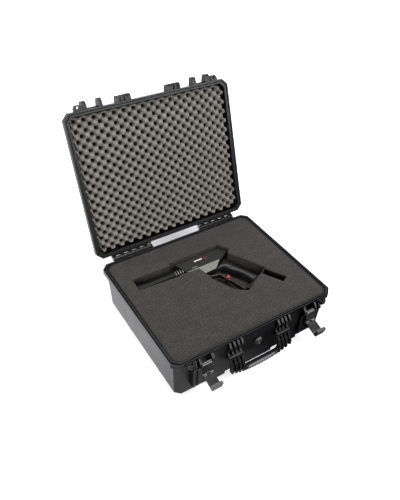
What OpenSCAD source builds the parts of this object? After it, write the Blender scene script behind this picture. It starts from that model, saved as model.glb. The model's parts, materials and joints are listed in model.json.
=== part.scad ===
// Hard transit case with padded lid, cut foam insert and a stored pistol-grip instrument.
// Frame: origin at the bottom centre, +X to the right, -Y is the handle side, +Z up.
// The lid is modelled closed and then turned open about the hinge axis.

/* [Case] */
// Width of the rim, left to right
case_w = 524; // [510:1:540]
// Depth of the rim, front to back
case_d = 426; // [415:1:440]
// Height of the base, ground to the rim's top face
base_h = 145; // [140:1:160]
// Height of the lid above the rim's top face
lid_h = 61; // [56:1:70]
// Length cut off along each side at the rim's corners
corner_cut = 17.3; // [12:0.1:24]
// Height of the thick rim band on the base and on the lid
rim_h = 16; // [14:1:18]
// Thickness of the shell walls
wall = 3.5; // [3:0.1:4]

/* [Hinge] */
// Angle of the lid from closed
lid_open = 109; // [90:1:109]
// Distance of the hinge axis behind the rim
hinge_back = 11.5; // [11:0.1:12]
// Distance of the hinge axis below the rim's top face
hinge_drop = 1.7; // [1.2:0.1:2]
// Number of knuckles in each hinge group
knuckle_count = 10; // [6:2:12]

/* [Latch] */
// Centre of each latch, left or right of the middle
latch_x = 172; // [170:1:174]
// Width of the latch lever
latch_w = 29.4; // [26:0.1:29.6]
// Length of the latch lever's plate
lever_len = 47; // [42:1:50]

/* [Handle] */
// Distance of the hinge pin below the rim's top face
handle_drop = 55; // [54:1:57]
// Height of the grip bar at its middle
grip_h = 26; // [20:1:28]

/* [Foam] */
// Depth of the tool pocket in the base foam
pocket_depth = 50; // [50:1:60]
// Height of the bottom pad under the insert
pad_h = 28; // [20:1:34]
// Depth of the foam's top face below the rim
foam_drop = 2; // [1:0.5:4]

/* [Instrument] */
// Radius of the barrel tube
barrel_r = 14; // [10:0.5:14]
// Thickness of the instrument's body
tool_t = 36; // [34:0.5:37]

/* [Hidden] */

case_black = [0.09, 0.09, 0.095];
steel = [0.72, 0.73, 0.74];
foam_dark = [0.24, 0.24, 0.23];
foam_warm = [0.55, 0.53, 0.50];
tool_black = [0.13, 0.13, 0.13];

gap = 0.3;             // clearance between a loose piece and its seat
pin_gap = 0.05;        // radial running clearance of every pin
over = 1;              // how far a cut runs past the face it opens
rim_z = base_h;        // rim plane
half_w = case_w / 2;
half_d = case_d / 2;
hinge_y = half_d + hinge_back;
hinge_z = rim_z - hinge_drop;
floor_t = 5;           // thickness of the base's bottom
foot_h = 6;            // height of the bevel round the bottom edge
inset_top = [10, 7.5]; // wall's outer face, in from the rim's edge, just under the band
inset_low = [15.25, 11.1];
inset_foot = [20, 16];
lid_top_inset = [15, 12];
lid_edge_inset = [22, 19];
front_y = -half_d;

pin_r = 2.5;
knuckle_r = 6.5;
hinge_x0 = 85;
hinge_len = 132;
knuckle_pitch = hinge_len / knuckle_count;
knuckle_gap = 0.8;

latch_pin = [front_y - 9, rim_z - 28];     // y, z of the pin in the base
knee = [front_y - 17, rim_z - 57];         // y, z of the pin between link and lever
lever_slope = 16.1;                        // lever plate's fall below level at rest
latch_bay = 32;                            // free width between the latch ribs
bay_depth = 6.5;                           // how far the rim is cut back between those ribs
knee_r = 5.2;
link_r = 5.5;

handle_y = front_y - 9;
handle_z = rim_z - handle_drop;
handle_pin_r = 3;
handle_ribs = [61, 73, 85, 98];
rib_t = 5;
grip_face = 30;        // how far the grip's front face stands out from the rim's edge
grip_depth = 12;

valve_z = rim_z - 52;
valve_r = 11;
valve_y = front_y + 1.2;                   // face of the seat that the valve screws on to

tool_mid_z = rim_z - 31;                   // split plane of the instrument, lying on its side
tool_top = tool_mid_z + tool_t / 2;
barrel_y = 98;
cover_t = 2;

// ---- helpers ----

// Rectangle w by d with its corners cut off at 45 degrees
function oct(w, d, c) = [[-w/2, -d/2 + c], [-w/2 + c, -d/2], [w/2 - c, -d/2], [w/2, -d/2 + c],
    [w/2, d/2 - c], [w/2 - c, d/2], [-w/2 + c, d/2], [-w/2, d/2 - c]];

// Rim outline moved inwards by inset
function ring_at(inset) = oct(case_w - 2*inset.x, case_d - 2*inset.y,
    corner_cut - 0.3*min(inset.x, inset.y));

// Outline of a bar of half width w that follows a line of points with mitred corners
function left_of(p, i) = let (d = p[i+1] - p[i]) [-d.y, d.x] / norm(d);
function miter(p, i) = i == 0 ? left_of(p, 0) : i == len(p)-1 ? left_of(p, i-1)
    : let (m = left_of(p, i-1) + left_of(p, i)) m * 2 / (m * m);
function bar_outline(p, w) = concat([for (i = [0:len(p)-1]) p[i] + w*miter(p, i)],
    [for (i = [len(p)-1:-1:0]) p[i] - w*miter(p, i)]);

// Closed solid through a stack of outlines, each [height, points]
module loft(levels) {
    n = len(levels[0][1]);
    last = len(levels) - 1;
    pts = [for (l = levels, p = l[1]) [p.x, p.y, l[0]]];
    sides = [for (k = [0:last-1], i = [0:n-1])
        [k*n + i, (k+1)*n + i, (k+1)*n + (i+1) % n, k*n + (i+1) % n]];
    polyhedron(pts, concat([[for (i = [0:n-1]) i]], sides, [[for (i = [n-1:-1:0]) last*n + i]]),
        convexity = 4);
}

// Flat ring between two outlines
module band(outer, inner, h) {
    linear_extrude(h) difference() { polygon(outer); polygon(inner); }
}

// Plate with a side outline given as [y, z] points, from x0 to x0 + t
module side_plate(x0, t, pts) {
    translate([x0, 0, 0]) rotate([90, 0, 90]) linear_extrude(t) polygon(pts);
}

module rod_x(x0, len, y, z, r, sides = 40) {
    translate([x0, y, z]) rotate([0, 90, 0]) cylinder(r = r, h = len, $fn = sides);
}

module both_sides() {
    children();
    mirror([1, 0, 0]) children();
}

// Turn the lid's closed geometry to its resting, open place
module lid_pose() {
    translate([0, hinge_y, hinge_z]) rotate([-lid_open, 0, 0]) translate([0, -hinge_y, -hinge_z])
        children();
}

// ---- base ----

// Distance that a rib stands out from the rim's edge, at a drop below the rim's top face.
// It swells at the drop called peak and falls back to the distance called low.
function reach(drop, low, swell, peak, spread) =
    low*(1 - exp(-drop/8)) + swell*exp(-pow((drop - peak)/spread, 2));

function rib_outline(first, last, low, swell, peak, spread) = concat(
    [[front_y + 16, rim_z - first]],
    [for (drop = [first:4:last]) [front_y - reach(drop, low, swell, peak, spread), rim_z - drop]],
    [[front_y + 16, rim_z - last - 2]]);

padlock_r = 4;
padlock_out = 9;       // how far the padlock holes stand out from the rim's edge

latch_rib = rib_outline(4, 112, 5, 11.5, 22, 13);
handle_rib = rib_outline(3, 55, 2, 11, 17, 11);
boss_r = 5.6;          // rounded end of each handle rib, round the pin

// Knuckle with its arm back to the rim; lid knuckles point up, base knuckles down
module knuckle(x0, w, up) {
    rod_x(x0, w, hinge_y, hinge_z, knuckle_r);
    s = up ? 1 : -1;
    top = hinge_z + (up ? hinge_drop + gap : hinge_drop - gap);
    side_plate(x0, w, [[half_d - 8, top], [hinge_y, top], [hinge_y + 4.5, hinge_z + s*4.5],
        [hinge_y, hinge_z + s*knuckle_r], [half_d - 2, hinge_z + s*26], [half_d - 11, hinge_z + s*34]]);
}

module knuckle_row(first, up) {
    web_y = half_d - over;
    web_z = up ? rim_z + gap : rim_z - rim_h;
    both_sides() {
        for (k = [first:2:knuckle_count-1])
            knuckle(hinge_x0 + k*knuckle_pitch + knuckle_gap/2, knuckle_pitch - knuckle_gap, up);
        // strip along the rim that closes the slot in front of the knuckles
        translate([hinge_x0, web_y, web_z])
            cube([hinge_len, hinge_back + over - knuckle_r - 0.6, rim_h - gap]);
    }
}

module padlock_tab(z0, h) {
    both_sides() translate([0, 0, z0]) difference() {
        linear_extrude(h) polygon([[205, front_y + 6], [205, front_y - 12], [209, front_y - 16],
            [221, front_y - 16], [227, front_y - 8], [227, front_y + 6]]);
        translate([215, front_y - padlock_out, -over])
            cylinder(r = padlock_r, h = h + 2*over, $fn = 32);
    }
}

module base_outer() {
    loft([[0, ring_at(inset_foot)], [foot_h, ring_at(inset_low)],
        [rim_z - rim_h + 1, ring_at(inset_top)]]);
    translate([0, 0, rim_z - rim_h]) linear_extrude(rim_h) polygon(ring_at([0, 0]));
    // sealing tongue
    translate([0, 0, rim_z - over]) band(ring_at([4.6, 4.2]), ring_at([7.2, 6.6]), over + 2.6);
}

// Front panel flush with the rim at its top, sloping back a little to the ground
module front_panel(x0, x1) {
    side_plate(x0, x1 - x0, [[front_y + 14, rim_z - rim_h + 1], [front_y, rim_z - rim_h + 1],
        [front_y + 5.5, foot_h], [front_y + 9, 0], [front_y + 18, 0]]);
}

module base_fittings() {
    bay_x0 = latch_x - latch_bay/2;
    bay_x1 = latch_x + latch_bay/2;
    both_sides() {
        side_plate(bay_x0 - 6, 6, latch_rib);
        side_plate(bay_x1, 5, latch_rib);
        side_plate(bay_x1 + 14, 5, latch_rib);
        // web joining the two outer latch ribs
        translate([bay_x1 + 2, front_y - 2, rim_z - 108]) cube([15, 12, 98]);
        front_panel(handle_ribs[3], bay_x0 - 3);
        for (x = handle_ribs) {
            side_plate(x - rib_t/2, rib_t, handle_rib);
            rod_x(x - rib_t/2, rib_t, handle_y, handle_z, boss_r);
            side_plate(x - rib_t/2, rib_t, [[handle_y, handle_z + 5], [handle_y, handle_z - boss_r],
                [front_y + 16, handle_z - 24], [front_y + 16, handle_z + 12],
                [front_y - 2, handle_z + 10]]);
        }
    }
    front_panel(-handle_ribs[0], handle_ribs[0]);
    // seat of the pressure valve
    translate([0, front_y + 10, valve_z]) rotate([90, 0, 0])
        cylinder(r = 16, h = front_y + 10 - valve_y, $fn = 48);
}

// Pocket cut into the rim above the latch, with rounded top corners
module latch_pocket() {
    translate([latch_x, front_y + bay_depth, rim_z - rim_h - over]) rotate([90, 0, 0])
        linear_extrude(bay_depth + over) {
            translate([-latch_bay/2, 0]) square([latch_bay, 6]);
            intersection() {
                translate([-latch_bay/2, 0]) square([latch_bay, rim_h + over - 4.5]);
                scale([1, 0.62]) circle(r = latch_bay/2 + 2.5, $fn = 64);
            }
        }
}

module base_shell() {
    color(case_black) difference() {
        union() {
            base_outer();
            base_fittings();
            padlock_tab(rim_z - 14, 12);
            knuckle_row(0, false);
        }
        loft([[floor_t, ring_at(inset_low + [wall, wall])],
            [rim_z - rim_h, ring_at(inset_top + [wall, wall])],
            [rim_z + over, ring_at(inset_top + [wall, wall])]]);
        both_sides() {
            latch_pocket();
            rod_x(hinge_x0 - over, hinge_len + 2*over, hinge_y, hinge_z, pin_r + pin_gap);
            rod_x(latch_x - latch_bay/2 - 4, latch_bay + 8, latch_pin.x, latch_pin.y,
                pin_r + pin_gap);
            rod_x(handle_ribs[0] - rib_t, handle_ribs[3] - handle_ribs[0] + 2*rib_t,
                handle_y, handle_z, handle_pin_r + pin_gap);
        }
        translate([0, front_y + 22, valve_z]) rotate([90, 0, 0])
            cylinder(r = 7 + pin_gap, h = 30, $fn = 40);
    }
}

// ---- lid ----

// Side outline of a rib on the lid's front, standing out by tip
function lid_rib(tip) = [[front_y + 14, rim_z + gap + 3], [front_y - tip + 5, rim_z + gap + 3],
    [front_y - tip, rim_z + 8], [front_y - tip, rim_z + 23], [front_y - tip + 4, rim_z + 27],
    [front_y, rim_z + 31], [front_y + 14, rim_z + 34]];

// Rib from x0 to x1 that narrows towards its tip by lean on each side
module lid_block(x0, x1, tip, lean) {
    intersection() {
        side_plate(x0, x1 - x0, lid_rib(tip));
        translate([0, 0, rim_z]) linear_extrude(lid_h)
            polygon([[x0, front_y + 15], [x0, front_y], [x0 + lean, front_y - tip - over],
                [x1 - lean, front_y - tip - over], [x1, front_y], [x1, front_y + 15]]);
    }
}

module lid_outer() {
    z0 = rim_z + gap;
    translate([0, 0, z0]) linear_extrude(rim_h) polygon(ring_at([0, 0]));
    loft([[z0 + rim_h - 1, ring_at(inset_top)], [rim_z + lid_h - 8, ring_at(lid_top_inset)],
        [rim_z + lid_h, ring_at(lid_edge_inset)]]);
    both_sides() {
        lid_block(latch_x - latch_bay/2 - 13, latch_x - latch_bay/2, 22, 2);
        lid_block(latch_x + latch_bay/2, latch_x + latch_bay/2 + 16, 22, 2.5);
        lid_block(handle_ribs[0] - 3, handle_ribs[1] - 4, 17, 1);
        for (x = handle_ribs) lid_block(x - 3, x + 3, 17, 0.6);
        // catch that the latch's lip hooks over
        side_plate(latch_x - latch_bay/2 - over, latch_bay + 2*over, [[front_y + 8, rim_z + 12],
            [front_y - 2.5, rim_z + 13], [front_y - 2.5, rim_z + 17], [front_y + 8, rim_z + 19]]);
    }
}

module lid_shell() {
    inner = inset_top + [wall, wall];
    color(case_black) lid_pose() difference() {
        union() {
            lid_outer();
            padlock_tab(rim_z + gap, 13);
            knuckle_row(1, true);
        }
        loft([[rim_z - over, ring_at(inner)], [rim_z + rim_h, ring_at(inner)],
            [rim_z + lid_h - 5, ring_at(lid_top_inset + [wall + 2, wall + 2])]]);
        // groove for the seal and the base's tongue
        translate([0, 0, rim_z - over])
            band(ring_at([4, 3.6]), ring_at([7.8, 7.2]), over + gap + 6);
        both_sides() rod_x(hinge_x0 - over, hinge_len + 2*over, hinge_y, hinge_z, pin_r + pin_gap);
    }
}

module lid_gasket() {
    color([0.05, 0.05, 0.05]) lid_pose() translate([0, 0, rim_z + 3.4])
        band(ring_at([4.3, 3.9]), ring_at([7.5, 6.9]), 2.8);
}

module hinge_pins() {
    color(steel) both_sides()
        rod_x(hinge_x0 + 0.5, hinge_len - 1, hinge_y, hinge_z, pin_r);
}

// ---- foam ----

// Corners of the cut-out at the foam's top face, clockwise from the barrel's front end
barrel_slot = [[-208, 70], [-208, 115.5], [-80, 115.5], [-80, 62]];
body_pocket = [[-84, 66], [-84, 126], [93, 126], [114, 92], [98, 78], [60, 20], [-9, 37],
    [-14, 61.5]];
grip_pocket = [[-10, 40], [-5, 5], [19, -49], [33, -69], [59, -86], [160, -32], [98, 78], [60, 90]];
slot_depth = 30;
side_slot = [[154, -36], [188, -97], [167, -108], [133, -48]];

module pocket_outline() {
    polygon(barrel_slot);
    polygon(body_pocket);
    polygon(grip_pocket);
}

foam_gap = 0.4;
foam_inset = inset_top + [wall + foam_gap, wall + foam_gap];

module base_foam() {
    top = rim_z - foam_drop;
    low = floor_t + pad_h + 2*gap;
    color(foam_dark) difference() {
        loft([[low, ring_at(inset_low + [wall + foam_gap, wall + foam_gap])],
            [rim_z - rim_h, ring_at(foam_inset)], [top, ring_at(foam_inset)]]);
        translate([0, 0, top - pocket_depth]) linear_extrude(pocket_depth + over) pocket_outline();
        translate([0, 0, top - slot_depth]) linear_extrude(slot_depth + over) polygon(side_slot);
    }
}

module base_foam_pad() {
    color(foam_dark) loft([[floor_t + gap, ring_at(inset_low + [wall + 1, wall + 1])],
        [floor_t + gap + pad_h, ring_at(inset_low + [wall + 1, wall + 1])]]);
}

module lid_foam() {
    color(foam_warm) lid_pose() loft([[rim_z + 5, ring_at(foam_inset + [0.6, 3.6])],
        [rim_z + rim_h, ring_at(foam_inset + [0.6, 3.6])],
        [rim_z + lid_h - 5 - gap, ring_at(lid_top_inset + [wall + 3, wall + 3])]]);
}

// ---- latches ----

module latch_base_pins() {
    color(steel) both_sides()
        rod_x(latch_x - latch_bay/2 - 3.5, latch_bay + 7, latch_pin.x, latch_pin.y, pin_r);
}

// Drawn for the right-hand latch, in place
module latch_link() {
    x0 = latch_x - latch_w/2;
    third = latch_w / 3;
    color([0.35, 0.35, 0.36]) difference() {
        union() {
            rod_x(x0, latch_w, latch_pin.x, latch_pin.y, link_r);
            rod_x(x0 + third + 0.3, third - 0.6, knee.x, knee.y, knee_r);
            side_plate(x0, latch_w, [[latch_pin.x - 5.2, latch_pin.y - 2],
                [latch_pin.x + 1, latch_pin.y - 2], [knee.x + 5, knee.y + 7.5],
                [knee.x - 3, knee.y + 6.5]]);
            side_plate(x0 + third + 0.3, third - 0.6, [[knee.x - 4, knee.y + 8],
                [knee.x - 5, knee.y], [knee.x + 4.9, knee.y], [knee.x + 5, knee.y + 8]]);
        }
        rod_x(x0 - over, latch_w + 2*over, latch_pin.x, latch_pin.y, pin_r + pin_gap);
        rod_x(x0 - over, latch_w + 2*over, knee.x, knee.y, pin_r + pin_gap);
    }
}

// Lever outline in its own frame: knee at the origin, plate along +u, lip along +v
lever_t = 6;
lip_t = 9;
lip_h = 17;
lever_outline = [[6, -lever_t/2], [lever_len, -lever_t/2 - 1], [lever_len, lever_t/2 + lip_h],
    [lever_len - 2, lever_t/2 + lip_h + 1.5], [lever_len - lip_t, lever_t/2 + lip_h],
    [lever_len - lip_t, lever_t/2 + 2], [lever_len - lip_t - 3, lever_t/2], [6, lever_t/2]];

// The same outline turned to the lever's slope and placed at the knee, as [y, z]
function lever_points(outline) = [for (p = outline)
    knee + [-p.x*cos(lever_slope) - p.y*sin(lever_slope),
        -p.x*sin(lever_slope) + p.y*cos(lever_slope)]];

module latch_lever() {
    x0 = latch_x - latch_w/2;
    third = latch_w / 3;
    color([0.22, 0.22, 0.23]) difference() {
        union() {
            side_plate(x0, latch_w, lever_points(lever_outline));
            for (x = [x0, x0 + 2*third]) {
                rod_x(x, third, knee.x, knee.y, knee_r);
                side_plate(x, third, lever_points([[2, -2], [9, -2], [9, 2], [2, 2]]));
            }
        }
        rod_x(x0 - over, latch_w + 2*over, knee.x, knee.y, pin_r + pin_gap);
    }
}

module latch_lever_pin() {
    color(steel) rod_x(latch_x - latch_w/2 + 0.2, latch_w - 0.4, knee.x, knee.y, pin_r);
}

module latch_link_left() { mirror([1, 0, 0]) latch_link(); }
module latch_link_right() { latch_link(); }
module latch_lever_left() { mirror([1, 0, 0]) latch_lever(); }
module latch_lever_right() { latch_lever(); }
module latch_lever_pin_left() { mirror([1, 0, 0]) latch_lever_pin(); }
module latch_lever_pin_right() { latch_lever_pin(); }

// ---- carry handle ----

module handle_pins() {
    color(steel) both_sides() rod_x(handle_ribs[0] - rib_t/2 + 0.3,
        handle_ribs[3] - handle_ribs[0] + rib_t - 0.6, handle_y, handle_z, handle_pin_r);
}

finger_edge = rib_t/2 + 0.6;
grip_top = rim_z - 98;
grip_y0 = front_y - grip_face;
arm_x = 101;           // outer side of the arms

// The cross-piece: its underside is bowed, and its section is rounder below than above
function bow(x) = grip_top - grip_h + 20*pow(x/96, 2);
function crown(x) = grip_top + 16*min(1, max(0, (abs(x) - 53)/6));
// Its front face steps back between the ribs of the arms
function front_face(x) = grip_y0 + 7*min(1, max(0, (abs(x) - 55)/2));
function grip_section(x) = let (low = bow(x), high = crown(x), front = front_face(x),
    back = grip_y0 + grip_depth, r = min(8, (grip_top - low)/3, back - front - 2)) concat(
    [[back - 1, high], [front + 2, high], [front, high - 2.5]],
    [for (a = [180:18:270]) [front + r + r*cos(a), low + r + r*sin(a)]],
    [[back - 0.5, low], [back, low + 4], [back, high - 2]]);
grip_stations = concat([-arm_x, -98], [for (x = [-90:10:-60]) x], [-57, -55, -52],
    [for (x = [-45:10:45]) x], [52, 55, 57], [for (x = [60:10:90]) x], [98, arm_x]);

// Side outline of a handle arm's inner plate, [y, z], set back between the ribs
arm_outline = [[handle_y + 4, handle_z + 1], [handle_y - 4, handle_z + 1],
    [handle_y - 5, handle_z - 12], [front_y - 16, rim_z - 84], [front_y - 20, grip_top],
    [front_y - 19, grip_top - 8], [front_y - 12, rim_z - 80], [handle_y + 4, handle_z - 12]];

// Rib at x that runs from the pin down the face of an arm, in line with a rib on the base
function arm_rib(x) = [[handle_y - 1, handle_z - 7], [handle_y - 6.5, handle_z - 5.5],
    [front_y - 20, handle_z - 14], [grip_y0, grip_top + 14], [grip_y0 - 1, bow(x) + 5],
    [grip_y0 + 2.5, bow(x) + 1], [grip_y0 + 10, bow(x) + 1], [grip_y0 + 10, grip_top + 4],
    [front_y - 13, handle_z - 16]];

module handle_frame() {
    color(case_black) difference() {
        union() {
            both_sides() {
                for (k = [0:2]) {
                    x0 = handle_ribs[k] + finger_edge;
                    w = handle_ribs[k+1] - handle_ribs[k] - 2*finger_edge;
                    rod_x(x0, w, handle_y, handle_z, 6.4);
                    side_plate(x0, w, arm_outline);
                }
                for (x = handle_ribs) side_plate(x - rib_t/2, rib_t, arm_rib(x));
                // plate that ties the ribs together at the back
                translate([59, front_y - 21, grip_top + 4]) cube([41, 5, 20]);
            }
            rotate([90, 0, 90]) loft([for (x = grip_stations) [x, grip_section(x)]]);
        }
        both_sides() rod_x(50, 60, handle_y, handle_z, handle_pin_r + pin_gap);
        // seat for the soft insert
        insert_shape(0.3, over + 2.3, grip_y0 - over);
    }
}

// Lens-shaped plate that follows the bowed underside, grown by edge, from y0 backwards
module insert_shape(edge, depth, y0) {
    top = grip_top - 3 + edge;
    x1 = 47 + edge;
    translate([0, y0 + depth, 0]) rotate([90, 0, 0]) linear_extrude(depth)
        polygon(concat([[x1 - 4, top], [4 - x1, top]],
            [for (x = [-x1:x1/6:x1 + 0.1]) [x, top - 14 - 2*edge + 8*pow(x/x1, 2)]]));
}

module handle_grip_insert() {
    color([0.35, 0.35, 0.35]) insert_shape(0, 2.6, grip_y0 - 0.6);
}

// ---- pressure valve ----

module valve_place() {
    translate([0, valve_y - gap, valve_z]) rotate([90, 0, 0]) children();
}

module valve_body() {
    color(case_black) valve_place() difference() {
        union() {
            translate([0, 0, 1.6]) cylinder(r = valve_r + 2, h = 1.2, $fn = 48);
            translate([0, 0, -10]) cylinder(r = 7, h = 12, $fn = 40);
            translate([0, 0, 2]) cylinder(r = 4, h = 4.6, $fn = 32);
        }
        translate([0, 0, -11]) cylinder(r = 2, h = 16, $fn = 24);
    }
}

module valve_seal() {
    color([0.05, 0.05, 0.05]) valve_place()
        rotate_extrude($fn = 40) translate([10, 0.8]) circle(r = 0.75, $fn = 16);
}

module valve_knob() {
    color([0.2, 0.2, 0.21]) valve_place() difference() {
        union() {
            translate([0, 0, 3]) cylinder(r = valve_r, h = 4, $fn = 48);
            // raised ring on the knob's face
            translate([0, 0, 6]) difference() {
                cylinder(r = valve_r - 2, h = 2.4, $fn = 48);
                translate([0, 0, 1.4]) cylinder(r = valve_r - 4.4, h = 2, $fn = 48);
            }
        }
        translate([0, 0, 2]) cylinder(r = 4 + pin_gap, h = 4.8, $fn = 32);
        for (k = [0:11]) rotate(k * 30) translate([valve_r + 0.6, 0, 2])
            cylinder(r = 1.4, h = 8, $fn = 16);
    }
}

// ---- instrument, lying on its side ----

// Outline of the body seen from above, and of its sloped side cover
body_outline = [[-46, 70], [-64, 120], [88, 121.5], [109, 96], [64, 70], [37, 46], [-2, 45],
    [-6, 70]];
cover_outline = [[-46, 76.6], [-62, 119], [87, 120.5], [107, 96.2], [70, 76.6]];
plate_outline = [[-44, 76.2], [-42, 71], [-7, 70.5], [-3, 46.5], [36, 47.5], [64, 72], [68, 76.2]];
tool_wall = 2.5;
half_t = tool_t / 2;
ring_r = half_t - cover_t - 0.2;           // barrel rings, which pass under the side cover

// Grip: a block leaning away from the body, about 62 degrees from the barrel line
grip_outline = [[66, 69.2], [98, 87], [96, 80], [90, 68], [136, -36], [109, -47], [98, -14],
    [82, 21], [69, 40], [55, 50], [52.8, 51.8]];
grip_core = [[72, 46], [84, 60], [126, -33], [114, -38], [101.5, -11], [85, 25]];
grip_half_t = 15;
battery_t = 16;
cap_t = 28;

module tool_housing_half(z0, h, open_top) {
    difference() {
        translate([0, 0, z0]) linear_extrude(h) polygon(body_outline);
        translate([0, 0, z0 + (open_top ? tool_wall : -over)])
            linear_extrude(h - tool_wall + over) offset(delta = -tool_wall) polygon(body_outline);
        // seat of the barrel, and the recess round its rings
        translate([-70, barrel_y, tool_mid_z]) rotate([0, 90, 0]) {
            cylinder(r = barrel_r + 0.1, h = 40, $fn = 48);
            cylinder(r = ring_r + 0.4, h = 20, $fn = 48);
        }
    }
}

module tool_housing_lower() {
    color(tool_black) tool_housing_half(tool_mid_z - half_t, half_t - 0.1, true);
}

module tool_housing_upper() {
    color(tool_black) tool_housing_half(tool_mid_z + 0.1, half_t - 0.1 - cover_t, false);
}

module tool_circuit_board() {
    color([0.1, 0.35, 0.15]) {
        translate([0, 78, tool_mid_z - 6]) cube([70, 36, 1.6]);
        translate([10, 84, tool_mid_z - 4.4]) cube([14, 14, 2]);
        translate([34, 88, tool_mid_z - 4.4]) cube([22, 10, 4]);
    }
}

module tool_side_cover() {
    color([0.14, 0.14, 0.14]) translate([0, 0, tool_top - cover_t + 0.1])
        linear_extrude(cover_t) polygon(cover_outline);
}

screw_spots = [[-46, 113], [82, 115], [62, 82]];

module tool_cover_screws() {
    color(steel) for (p = screw_spots) translate([p.x, p.y, tool_top + 0.2]) difference() {
        cylinder(r = 2, h = 0.9, $fn = 24);
        translate([0, 0, 0.4]) cylinder(r = 1, h = 1, $fn = 6);
    }
}

module tool_side_plate() {
    color([0.65, 0.66, 0.62]) translate([0, 0, tool_top - cover_t + 0.1])
        linear_extrude(1.5) polygon(plate_outline);
}

module tool_plate_screw() {
    color(steel) translate([27, 58, tool_top - cover_t + 1.7]) cylinder(r = 2.6, h = 1, $fn = 24);
}

// Plain slanted bar printed on the cover: x0, y0 is its corner
module mark_bar(x0, y0, w, h) {
    translate([x0, y0, tool_top + 0.2]) linear_extrude(0.4)
        polygon([[0, 0], [w, 0], [w + h/3, h], [h/3, h]]);
}

module tool_mark_light() {
    color("white") {
        mark_bar(-7, 102, 28, 4.5);
        mark_bar(-26, 82, 18, 0.8);
    }
}

module tool_mark_red() { color([0.6, 0.1, 0.1]) mark_bar(22.5, 99, 15, 8); }

module tool_barrel() {
    color(tool_black) translate([-196, barrel_y, tool_mid_z]) rotate([0, 90, 0]) difference() {
        cylinder(r = barrel_r, h = 160, $fn = 64);
        translate([0, 0, -over]) cylinder(r = barrel_r - 2, h = 158, $fn = 64);
    }
}

module tool_barrel_rings() {
    color([0.3, 0.3, 0.3]) for (k = [0:3])
        translate([-79 + 8*k, barrel_y, tool_mid_z]) rotate([0, 90, 0]) difference() {
            cylinder(r = ring_r, h = 2.2, $fn = 64);
            translate([0, 0, -over]) cylinder(r = barrel_r + 0.1, h = 3 + 2*over, $fn = 64);
        }
}

module tool_muzzle_cap() {
    color(tool_black) translate([-200, barrel_y, tool_mid_z]) rotate([0, 90, 0]) difference() {
        cylinder(r = barrel_r + 1.5, h = 14, $fn = 64);
        translate([0, 0, 3.8]) cylinder(r = barrel_r + 0.1, h = 14, $fn = 64);
        translate([0, 0, -over]) cylinder(r = barrel_r - 4, h = 8, $fn = 48);
    }
}

module tool_lens() {
    color([0.3, 0.35, 0.4, 0.5]) translate([-195.5, barrel_y, tool_mid_z]) rotate([0, 90, 0])
        cylinder(r = barrel_r - 2.2, h = 3, $fn = 48);
}

module grip_half(z0, h, up) {
    difference() {
        translate([0, 0, z0]) linear_extrude(h) polygon(grip_outline);
        translate([0, 0, z0 + (up ? tool_wall : -over)]) linear_extrude(h - tool_wall + over)
            polygon(grip_core);
    }
}

module tool_grip_lower() {
    color(tool_black) grip_half(tool_mid_z - grip_half_t, grip_half_t - 0.1, true);
}

module tool_grip_upper() {
    color(tool_black) grip_half(tool_mid_z + 0.1, grip_half_t - 0.1, false);
}

module tool_battery() {
    color([0.3, 0.4, 0.6]) translate([0, 0, tool_mid_z - battery_t/2]) linear_extrude(battery_t)
        offset(delta = -1) polygon(grip_core);
}

cap_outline = [[135.6, -37.2], [134, -42.6], [75, -71], [70, -62], [109.3, -48.4]];

module tool_battery_cap() {
    color([0.1, 0.1, 0.1]) translate([0, 0, tool_mid_z - cap_t/2]) linear_extrude(cap_t)
        polygon(cap_outline);
}

// Front guard: a bent bar that closes the finger opening
guard_t = 18;
guard_line = [[-2, 49], [12, 39], [24, 35], [36, 29], [46, 18], [53, 2], [63, -34], [68, -60]];
button_at = [51.5, 5];
button_r = 8;

module tool_guard() {
    color([0.12, 0.12, 0.12]) difference() {
        union() {
            translate([0, 0, tool_mid_z - guard_t/2]) linear_extrude(guard_t)
                polygon(bar_outline(guard_line, 5));
            translate([button_at.x, button_at.y, tool_mid_z - guard_t/2 + 0.5])
                cylinder(r = button_r + 2, h = guard_t - 1, $fn = 48);
        }
        translate([0, 0, tool_mid_z - guard_t/2 - over]) linear_extrude(guard_t + 2*over)
            offset(delta = 0.2) union() {
                polygon(body_outline);
                polygon(cap_outline);
            }
        translate([button_at.x, button_at.y, tool_mid_z + 5])
            cylinder(r = button_r + pin_gap, h = 10, $fn = 48);
    }
}

module tool_button() {
    color([0.6, 0.05, 0.08]) translate([button_at.x, button_at.y, tool_mid_z + 6.5]) {
        cylinder(r = button_r, h = 4.5, $fn = 48);
        // domed face
        translate([0, 0, 4.5]) intersection() {
            translate([0, 0, -4]) sphere(r = norm([button_r, 4]), $fn = 48);
            cylinder(r = button_r, h = button_r, $fn = 48);
        }
    }
}

base_shell();
lid_shell();
lid_gasket();
hinge_pins();
base_foam();
base_foam_pad();
lid_foam();
latch_base_pins();
latch_link_left();
latch_link_right();
latch_lever_left();
latch_lever_right();
latch_lever_pin_left();
latch_lever_pin_right();
handle_pins();
handle_frame();
handle_grip_insert();
valve_body();
valve_seal();
valve_knob();
tool_housing_lower();
tool_housing_upper();
tool_circuit_board();
tool_side_cover();
tool_cover_screws();
tool_side_plate();
tool_plate_screw();
tool_mark_light();
tool_mark_red();
tool_barrel();
tool_barrel_rings();
tool_muzzle_cap();
tool_lens();
tool_grip_lower();
tool_grip_upper();
tool_battery();
tool_battery_cap();
tool_guard();
tool_button();
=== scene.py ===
"""Looks for an open hard transit case with egg-crate lid foam and a stored pistol-grip instrument.

Lengths are metres in the CAD frame: origin at the bottom centre, -Y towards the handle, +Z up.
"""
import json
import math

import bmesh
import bpy
from mathutils import Matrix, Vector, noise


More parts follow.
